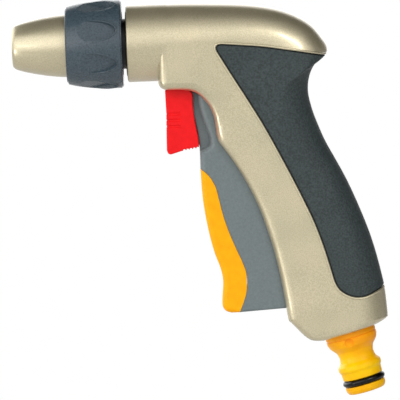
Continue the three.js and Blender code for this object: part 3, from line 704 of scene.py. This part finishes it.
def casting():
    """The painted casting with its slot, recess and raised line, and the rubber panel in it."""
    outside = handle_loft("outside")
    whole = joined(handle_loft("body"), barrel())
    below_recess = shrunk(outside, "below_recess", RECESS)
    below_rubber = shrunk(outside, "below_rubber", RUBBER_UNDERSIDE)
    top_of_rubber = shrunk(outside, "top_of_rubber", RUBBER_SUNK)
    flange = shrunk(outside, "flange", FLANGE_SUNK)
    bead_places, bead_normals = bead_path(outside)
    bpy.data.objects.remove(outside)
    recess = cut(panel_plate("recess", GROOVE), below_recess)
    start, end, radius = NIPPLE_HOLE
    hole_profile = [(start, NEAR_AXIS), (start, radius), (end, radius), (end, NEAR_AXIS)]
    nipple_hole = turned("nipple_hole", hole_profile, NIPPLE_AXIS, 48)
    joined(whole, tube("bead", bead_places, bead_normals, BEAD_R, ring=True))
    shell = cut(whole, hollow(), recess, plate("channel", CHANNEL, CHANNEL_HALF), nipple_hole)
    placed(shell, "gun_body", "champagne_paint", ["body_shell"], 28)
    shell.name = "body_casting"

    flange = common(flange, panel_plate("flange_region", GROOVE - RUBBER_PLAY))
    grip = cut(joined(common(top_of_rubber, panel_plate("panel", -RUBBER_INSET)), flange), below_rubber)
    placed(grip, "gun_body", "grip_rubber", ["grip_overmould"], 40)
    grip.name = "rubber_grip"


casting()

# --------------------------------------------------------------------------------------------------
# Hose nipple
# --------------------------------------------------------------------------------------------------


GATE_MARK, GATE_MARK_R = (-6.5, 19.4), 1.75                      # a round dimple in the flare's near side
GATE_MARK_FLOOR = 8.5                                            # its floor's distance from the middle plane


def hose_nipple():
    """The quick-connect nipple, turned to its profile, with its moulding mark and its rubber ring."""
    profile = corners([
        (0, 4.6, 0.4), (0, 7.1, 1.6), (1.5, 7.8, 0.8), (3.0, 7.85, 0.25), (3.0, 5.7), (5.8, 5.7),
        (5.8, 7.8, 0.25), (8.4, 7.9, 0.8), (9.6, 8.5, 0.8), (11.0, 8.4, 0.8), (12.4, 7.1, 1.5),
        (14.6, 6.7, 3.0), (16.8, 7.3, 2.5), (19.0, 9.2, 2.0), (20.6, 9.85, 0.8), (21.9, 9.9, 0.2),
        (22.0, 9.6), (22.25, 9.6), (22.35, 9.9, 0.2), (24.05, 9.9),
        (24.05, 8.0), (29.5, 8.0), (29.5, 4.6),
    ])
    nipple = turned("nipple", profile, NIPPLE_AXIS)
    dimple = pin("dimple", GATE_MARK, GATE_MARK_R)
    beyond_floor = pin("beyond_floor", GATE_MARK, 2 * GATE_MARK_R)
    beyond_floor.location.y = (WIDE - GATE_MARK_FLOOR) * MM
    bpy.context.view_layer.update()
    cut(nipple, cut(dimple, beyond_floor))
    placed(nipple, "gun_body", "nipple_plastic", ["hose_nipple"])
    ring = turned("o_ring", ring_section(along=4.4, radius=7.2, thick=2.4), NIPPLE_AXIS)
    placed(ring, "gun_body", "seal_rubber", ["nipple_o_ring"])


hose_nipple()

# --------------------------------------------------------------------------------------------------
# Trigger and lock lever
# --------------------------------------------------------------------------------------------------

PAD_FACE = [
    (-61.35, 88.3), (-61.2, 83.6), (-60.8, 76.7), (-59.8, 68.9), (-58.5, 61.9), (-56.8, 55.2),
    (-55.0, 50.1), (-54.2, 46.2), (-54.3, 41.6), (-54.7, 37.3), (-54.6, 35.2), (-53.5, 33.4),
    (-51.3, 32.6),
]
PAD_BACK = [
    (-48.2, 32.6), (-46.5, 36.7), (-45.3, 40.5), (-45.0, 44.7), (-45.3, 48.6), (-46.5, 52.2),
    (-49.0, 58.1), (-51.5, 64.7), (-53.3, 70.6), (-54.5, 76.0), (-56.0, 82.0), (-58.4, 86.0),
    (-61.35, 88.6),
]
TRIGGER_BACK = [
    (-27.5, 33.9), (-28.5, 40.0), (-31.0, 52.0), (-33.8, 62.0), (-37.5, 72.0), (-42.0, 82.0),
    (-47.5, 91.5), (-50.4, 97.5), (-51.6, 102.0), (-53.7, 106.0), (-53.7, 111.0), (-55.6, 114.8),
    (-58.6, 118.0),
]
TRIGGER_TOP = [                                                  # clear of the lock lever's swing
    (-61.4, 117.2), (-61.2, 113.8), (-60.5, 110.2), (-59.3, 106.2), (-58.1, 102.5), (-57.4, 99.7),
    (-57.5, 97.9), (-59.4, 96.6), (-61.3, 95.8),
]
TRIGGER_POCKET = [
    (-55.5, 96.0), (-55.5, 80.0), (-54.0, 70.0), (-52.0, 60.0), (-49.3, 50.0), (-48.0, 42.0),
    (-48.0, 36.4), (-36.0, 36.4), (-36.0, 30.0), (-20.0, 30.0), (-20.0, 60.0), (-45.0, 100.0),
]
TRIGGER_ARM = [
    (-61.3, 92.0), (-61.4, 97.0), (-62.1, 103.0), (-63.1, 108.0), (-64.8, 114.0, 3), (-67.0, 120.5, 3),
    (-67.4, 124.0, 3), (-66.3, 126.8, 3), (-63.5, 127.9, 3), (-60.7, 126.8, 3), (-59.4, 123.0, 3),
    (-56.5, 119.0), (-53.5, 116.0), (-53.5, 106.0), (-52.0, 98.0), (-50.0, 92.0),
]
TRIGGER_FOOT = [(-48.2, 32.7), (-40.0, 33.2)]
AHEAD_OF_TRIGGER = [(-75, 92), (-75, 25), (-48.2, 25)]
TOP_ROUND, FACE_ROUND, FOOT_ROUND, BACK_ROUND = 2.4, 2.2, (1.4, 1.0), 0.9
ARM_HALF, ARM_ROUND = 5.7, 0.6
TRIGGER_POCKET_HALF = 6.0
SEAM = np.array([0.12, 0.048])  # the gap between the trigger and its soft pad


def trigger():
    """The grey lever and the soft pad on its face, which share one outline."""
    top, face, back = curve(TRIGGER_TOP, 0.8), curve(PAD_FACE, 0.8), curve(TRIGGER_BACK, 1.2)
    outline = np.concatenate([top, face, TRIGGER_FOOT, back])
    rounding = np.concatenate([
        np.full(len(top), TOP_ROUND), np.full(len(face), FACE_ROUND), FOOT_ROUND,
        np.full(len(back), BACK_ROUND),
    ])
    pad_back = curve(PAD_BACK, 0.8)
    pad = common(
        plate("pad", outline, TRIGGER_HALF, rounding, 8),
        plate("pad_region", np.concatenate([pad_back, AHEAD_OF_TRIGGER]), WIDE),
    )
    lever = cut(
        plate("lever", outline, TRIGGER_HALF, rounding, 8),
        plate("pad_room", np.concatenate([pad_back + SEAM, AHEAD_OF_TRIGGER]), WIDE),
    )
    pivot = middle("trigger_pin")
    joined(lever, plate("arm", corners(TRIGGER_ARM), ARM_HALF, ARM_ROUND, 4))
    cut(lever, plate("pocket", TRIGGER_POCKET, TRIGGER_POCKET_HALF))
    cut(lever, pin("hole", (pivot.x, pivot.z), TRIGGER_HOLE_R))
    placed(pad, "trigger", "pad_rubber", ["trigger_pad"], 40)
    pad.name = "trigger_soft_pad"
    placed(lever, "trigger", "trigger_plastic", ["trigger_lever"], 35)
    lever.name = "trigger_body"


trigger()

LOCK_SIDE = [
    (-72.4, 126.0), (-72.7, 119.5), (-73.9, 119.2, 0.5), (-73.7, 110.4, 8), (-73.9, 101.5, 8),
    (-74.0, 96.0, 2), (-73.4, 94.6, 0.9), (-72.4, 94.4, 0.9), (-67.9, 95.7, 4), (-61.6, 96.6, 0.7),
    (-61.5, 98.2, 1), (-61.8, 101.1, 6), (-62.5, 105.0, 8), (-63.1, 109.3, 8), (-63.3, 113.2, 8),
    (-63.3, 117.6, 1), (-66.2, 121.2, 1), (-67.4, 124.6, 1), (-68.2, 126.6, 1), (-70.2, 127.4, 1),
]
LOCK_POCKET = [
    (-71.4, 130.0), (-71.4, 104.2), (-67.0, 103.6), (-67.0, 101.6), (-71.4, 101.6), (-71.4, 97.2),
    (-66.2, 98.0), (-66.2, 90.0), (-55.0, 90.0), (-55.0, 130.0),
]
LOCK_POCKET_HALF = 6.0
LOCK_ROUND = 0.5
GRIP_GROOVES = (110.0, 107.6, 105.2)                             # heights of the grooves round its front
GRIP_GROOVE_R, GRIP_GROOVE_TURN = 0.62, 1.2
GRIP_GROOVE_SIDE = LOCK_HALF + 0.25                              # the centre of a groove along the sides
GRIP_GROOVE_BACK_X, GRIP_GROOVE_FRONT_X = -68.4, -74.2
TEETH, TOOTH_R = 5, 0.5                                          # the notches along its foot
FIRST_TOOTH, TOOTH_STEP = (-67.2, 95.8), (1.28, 0.18)


def lock_lever():
    """The red lever in front of the trigger, with finger grooves and a notched foot."""
    lever = plate("lock", corners(LOCK_SIDE), LOCK_HALF, LOCK_ROUND, 4)
    side, back, front = GRIP_GROOVE_SIDE, GRIP_GROOVE_BACK_X, GRIP_GROOVE_FRONT_X
    around = corners([
        (back, side), (front, side, GRIP_GROOVE_TURN), (front, -side, GRIP_GROOVE_TURN), (back, -side),
    ], 6)
    for height in GRIP_GROOVES:
        route = np.column_stack([around, np.full(len(around), height)])
        cut(lever, tube("groove", route, np.tile([0.0, 0.0, 1.0], (len(route), 1)), GRIP_GROOVE_R))
    for i in range(TEETH):
        place = (FIRST_TOOTH[0] + TOOTH_STEP[0] * i, FIRST_TOOTH[1] + TOOTH_STEP[1] * i)
        cut(lever, pin("tooth", place, TOOTH_R))
    pivot = middle("lock_pin")
    cut(lever, plate("pocket", LOCK_POCKET, LOCK_POCKET_HALF))
    cut(lever, pin("hole", (pivot.x, pivot.z), LOCK_HOLE_R))
    placed(lever, "lock", "lock_plastic", ["lock_lever"], 35)
    lever.name = "red_lock_lever"


lock_lever()

# --------------------------------------------------------------------------------------------------
# Twist nozzle
# --------------------------------------------------------------------------------------------------


def spigot():
    """The black neck between the barrel and the collar, with the spigot that the nozzle turns on."""
    profile = corners([
        (-80.5, 8.6), (-80.5, 12.4), (-88.3, 12.4, 0.3), (-88.3, 9.65), (-96, 9.65), (-96, 9.0),
        (-104, 9.0), (-104, 7.0), (-113.5, 7.0), (-113.5, 5.2), (-85.3, 5.2), (-85.3, 8.6),
    ])
    neck = turned("neck", profile, BARREL_AXIS)
    placed(neck, "gun_body", "black_plastic", ["spindle_spigot"])


TIP_OUTSIDE = [
    (-131.8, 7.8), (-131.2, 8.3), (-129.5, 9.0), (-126.0, 9.95), (-121.0, 11.0), (-116.0, 11.75),
    (-112.0, 12.1), (-104.3, 12.1),
]


def tip():
    """The tapered end of the nozzle, with its flared mouth."""
    outside = curve(TIP_OUTSIDE, 0.8)
    inside = [
        (-104.3, 10.2), (-116.5, 10.2), (-121.5, 7.5), (-124.5, 2.6), (-126.5, 2.6), (-128.6, 4.4, 1),
        (-132.1, 6.2, 0.3),
    ]
    lip = [(-132.1, 7.2), (-132.0, 7.6)]
    profile = np.concatenate([outside, corners(inside), lip])
    nozzle = turned("tip", profile, BARREL_AXIS)
    placed(nozzle, "nozzle", "champagne_paint", ["nozzle_tip"])


COLLAR_REAR, COLLAR_FRONT = reach("nozzle_collar")[1].x, reach("nozzle_collar")[0].x
COLLAR_OUTSIDE = [(-90.3, 16.9), (-97.0, 16.9), (-103.0, 16.4), (-108.0, 15.6), (-110.8, 14.9)]
PETALS = 8
PETAL_TILT = radians(22.0)      # the first petal's angle above the horizontal
PETAL_TIP_X = -92.0
PETAL_WIDEST_X = -103.0
PETAL_HALF = 4.2
PETAL_FLOOR = (15.3, 15.8)      # its floor's distance from the axis, at its tip and where it is widest
PETAL_END_X = COLLAR_FRONT - 2  # past the collar's front, where it is open
PETAL_DRAFT = 0.2               # how much its walls lean outwards
PETAL_LEVEL = 1.0               # the height above its floor at which its outline is as stated
PETAL_ROOM = 1.0                # how far its cutter reaches past the collar's surface
RIM_R, RIM_SUNK = 0.36, 0.04    # the raised line round a petal: its radius, and its centre's depth
RIM_MARGIN = 0.3                # and its centre's distance outside the petal


def petal_cutter(angle):
    """A cutter with a petal-shaped outline, a flat floor and leaning walls, at that angle round the axis."""
    turns = np.linspace(-pi / 2, pi / 2, 33)
    tip_floor, widest_floor = PETAL_FLOOR
    floor, roof = [], []
    for ring, rise in ((floor, 0.0), (roof, COLLAR_OUTSIDE[0][1] - tip_floor + PETAL_ROOM)):
        spread = PETAL_DRAFT * (rise - PETAL_LEVEL)
        length, half = PETAL_TIP_X - PETAL_WIDEST_X + spread, PETAL_HALF + spread
        outline = [(PETAL_WIDEST_X + length * cos(t), half * sin(t)) for t in turns]
        outline += [(PETAL_END_X, half), (PETAL_END_X, -half)]
        for x, across in outline:
            forward = (x - PETAL_TIP_X) / (PETAL_WIDEST_X - PETAL_TIP_X)
            level = tip_floor + (widest_floor - tip_floor) * forward + rise
            y = -level * cos(angle) + across * sin(angle)
            z = level * sin(angle) + across * cos(angle)
            ring.append((x, y, BARREL_Z + z))
    return loft("petal", [floor, roof])


def petal_rim(angle, outside):
    """A fine raised line round a petal, which sinks into the surface towards the front."""
    turns = np.linspace(-pi / 2, pi / 2, 41)
    x = PETAL_WIDEST_X + (PETAL_TIP_X - PETAL_WIDEST_X + RIM_MARGIN) * np.cos(turns)
    across = (PETAL_HALF + RIM_MARGIN) * np.sin(turns)
    radius = np.interp(x, outside[::-1, 0], outside[::-1, 1])
    level = radius - RIM_SUNK - RIM_R * np.sin(turns) ** 8
    around = angle + np.arcsin(across / radius)
    out = np.column_stack([0 * around, -np.cos(around), np.sin(around)])
    path = np.column_stack([x, 0 * x, 0 * x + BARREL_Z]) + level[:, None] * out
    return tube("rim", path, out, RIM_R)


def collar():
    """The collar that turns the nozzle, with petal-shaped finger grips round it."""
    outside = curve(COLLAR_OUTSIDE, 0.8)
    inside = corners([
        (COLLAR_FRONT, 14.2, 0.5), (COLLAR_FRONT, 12.4, 0.3), (-104.3, 12.4), (-104.3, 12.6),
        (COLLAR_REAR, 12.6, 0.3), (COLLAR_REAR, 16.5, 0.4),
    ])
    ring = turned("ring", np.concatenate([outside, inside]), BARREL_AXIS, 160)
    for i in range(PETALS):
        angle = PETAL_TILT + 2 * pi * i / PETALS
        joined(ring, petal_rim(angle, outside))
        cut(ring, petal_cutter(angle))
    placed(ring, "nozzle", "collar_plastic", ["nozzle_collar"], 25)
    ring.name = "scalloped_collar"


spigot()
tip()
collar()

# --------------------------------------------------------------------------------------------------
# Pieces that stay as the CAD made them
# --------------------------------------------------------------------------------------------------

CARRIED_OVER = {
    "seal_rubber": (
        "nipple_gasket", "inlet_tube_seal", "riser_seal", "stem_seal", "valve_washer", "spigot_seal",
        "nozzle_seal",
    ),
    "black_plastic": (
        "inlet_tube", "valve_housing", "barrel_tube", "spray_cone", "glide_ring", "nozzle_insert",
    ),
    "brass": ("gland_nut", "valve_seat", "valve_stem", "valve_cap"),
    "stainless_steel": ("stem_clip", "valve_spring", "trigger_pin", "lock_pin"),
}
for slot, names in CARRIED_OVER.items():
    for name in names:
        materials = frame["nodes"][name].data.materials
        materials.clear()
        materials.append(SLOT_MATERIALS[slot])

# --------------------------------------------------------------------------------------------------
# Floor, light and camera
# --------------------------------------------------------------------------------------------------

# In metres
FLOOR_Z = -0.10
FLOOR_R = 0.62
FLOOR_RIMS = ((1, 0.006), (1, 0.002), (0.996, 0))               # scale and drop, from its underside up
FLOOR_SIDES = 96
CENTRE = Vector((-0.06, 0, 0.076))                               # what the lights point at
CAMERA_PLACE, CAMERA_AIM = Vector((-0.040, -2.16, 0.250)), Vector((-0.0620, 0, 0.0759))
CAMERA_ROLL = radians(2.0)
CAMERA_LENS = 505.5
# The studio's soft lights, far away: azimuth (0 is the camera's side, 90 the right), elevation, strength
LIGHT_SPREAD = radians(40.0)
LIGHTS = (
    (-135, -6, 0.65), (-45, -6, 0.35), (0, -6, 0.52), (90, -6, 0.2), (135, -6, 0.2),
    (-120, 20, 2.2), (-80, 20, 0.6), (-40, 20, 1.6), (0, 20, 0.45), (40, 20, 0.78),
    (0, 46, 0.4), (45, 46, 0.25), (180, 10, 1.8),
)


def floor():
    """A plain pale disc below the gun."""
    angles = 2 * pi * np.arange(FLOOR_SIDES) / FLOOR_SIDES
    rim = np.column_stack([FLOOR_R * np.cos(angles), FLOOR_R * np.sin(angles), np.zeros(FLOOR_SIDES)]) / MM
    rings = [
        rim * scale + np.array([CENTRE.x / MM, 0, (FLOOR_Z - drop) / MM])
        for scale, drop in FLOOR_RIMS
    ]
    disc = loft("studio_floor", rings)
    finish = Finish("pale_floor", 0.7)
    finish.speckle(30.0, linear(240, 240, 239), linear(247, 247, 246))
    disc.data.materials.append(finish.material)


def towards(azimuth, elevation):
    """The direction of a light, from its azimuth and elevation in degrees."""
    around, above = radians(azimuth), radians(elevation)
    return Vector((sin(around) * cos(above), -cos(around) * cos(above), sin(above)))


def world():
    """A studio with large soft lights, which is plain white to the camera."""
    studio = bpy.data.worlds.new("studio")
    bpy.context.scene.world = studio
    studio.use_nodes = True
    nodes, links = studio.node_tree.nodes, studio.node_tree.links
    nodes.clear()
    direction = nodes.new("ShaderNodeTexCoord").outputs["Generated"]
    total = None
    for azimuth, elevation, strength in LIGHTS:
        dot = nodes.new("ShaderNodeVectorMath")
        dot.operation = "DOT_PRODUCT"
        links.new(direction, dot.inputs[0])
        dot.inputs[1].default_value = towards(azimuth, elevation)
        glow = nodes.new("ShaderNodeMapRange")
        glow.interpolation_type = "SMOOTHSTEP"
        glow.inputs["From Min"].default_value = cos(LIGHT_SPREAD)
        glow.inputs["To Max"].default_value = strength
        links.new(dot.outputs["Value"], glow.inputs["Value"])
        if total is None:
            total = glow.outputs["Result"]
            continue
        added = nodes.new("ShaderNodeMath")
        links.new(total, added.inputs[0])
        links.new(glow.outputs["Result"], added.inputs[1])
        total = added.outputs["Value"]
    lit, white = nodes.new("ShaderNodeBackground"), nodes.new("ShaderNodeBackground")
    links.new(total, lit.inputs["Color"])
    white.inputs["Color"].default_value = (1, 1, 1, 1)
    mix, path, out = (nodes.new(f"ShaderNode{kind}") for kind in ("MixShader", "LightPath", "OutputWorld"))
    links.new(path.outputs["Is Camera Ray"], mix.inputs["Fac"])
    links.new(lit.outputs["Background"], mix.inputs[1])
    links.new(white.outputs["Background"], mix.inputs[2])
    links.new(mix.outputs["Shader"], out.inputs["Surface"])


def softbox(name, azimuth, elevation, size, watts, roll=0, distance=0.9):
    """A rectangular area light, placed by its azimuth and elevation and turned on itself, in degrees."""
    direction = towards(azimuth, elevation)
    light = bpy.data.lights.new(name, "AREA")
    light.shape = "RECTANGLE"
    light.size, light.size_y = size
    light.energy = watts
    lamp = bpy.data.objects.new(name, light)
    lamp.location = CENTRE + distance * direction
    facing = (-direction).to_track_quat("-Z", "Y") @ Quaternion((0, 0, 1), radians(roll))
    lamp.rotation_euler = facing.to_euler()
    bpy.context.scene.collection.objects.link(lamp)


def camera():
    """A long lens on the -Y side, a little above the gun."""
    forward = (CAMERA_AIM - CAMERA_PLACE).normalized()
    right = Vector((cos(CAMERA_ROLL), 0, -sin(CAMERA_ROLL)))
    right = (right - right.dot(forward) * forward).normalized()
    up = right.cross(forward)
    lens = bpy.data.cameras.new("camera")
    lens.lens = CAMERA_LENS
    eye = bpy.data.objects.new("camera", lens)
    turn = Matrix((right, up, -forward)).transposed().to_4x4()
    eye.matrix_world = Matrix.Translation(CAMERA_PLACE) @ turn
    bpy.context.scene.collection.objects.link(eye)
    bpy.context.scene.camera = eye


floor()
world()
softbox("heel_light", 34, 33, (0.34, 0.09), 1.3, roll=-38)
softbox("tip_light", -38, 12, (0.30, 0.12), 0.2)
softbox("left_light", -60, -12, (0.24, 0.24), 1.4)
camera()
bpy.context.scene.view_settings.view_transform = "Standard"
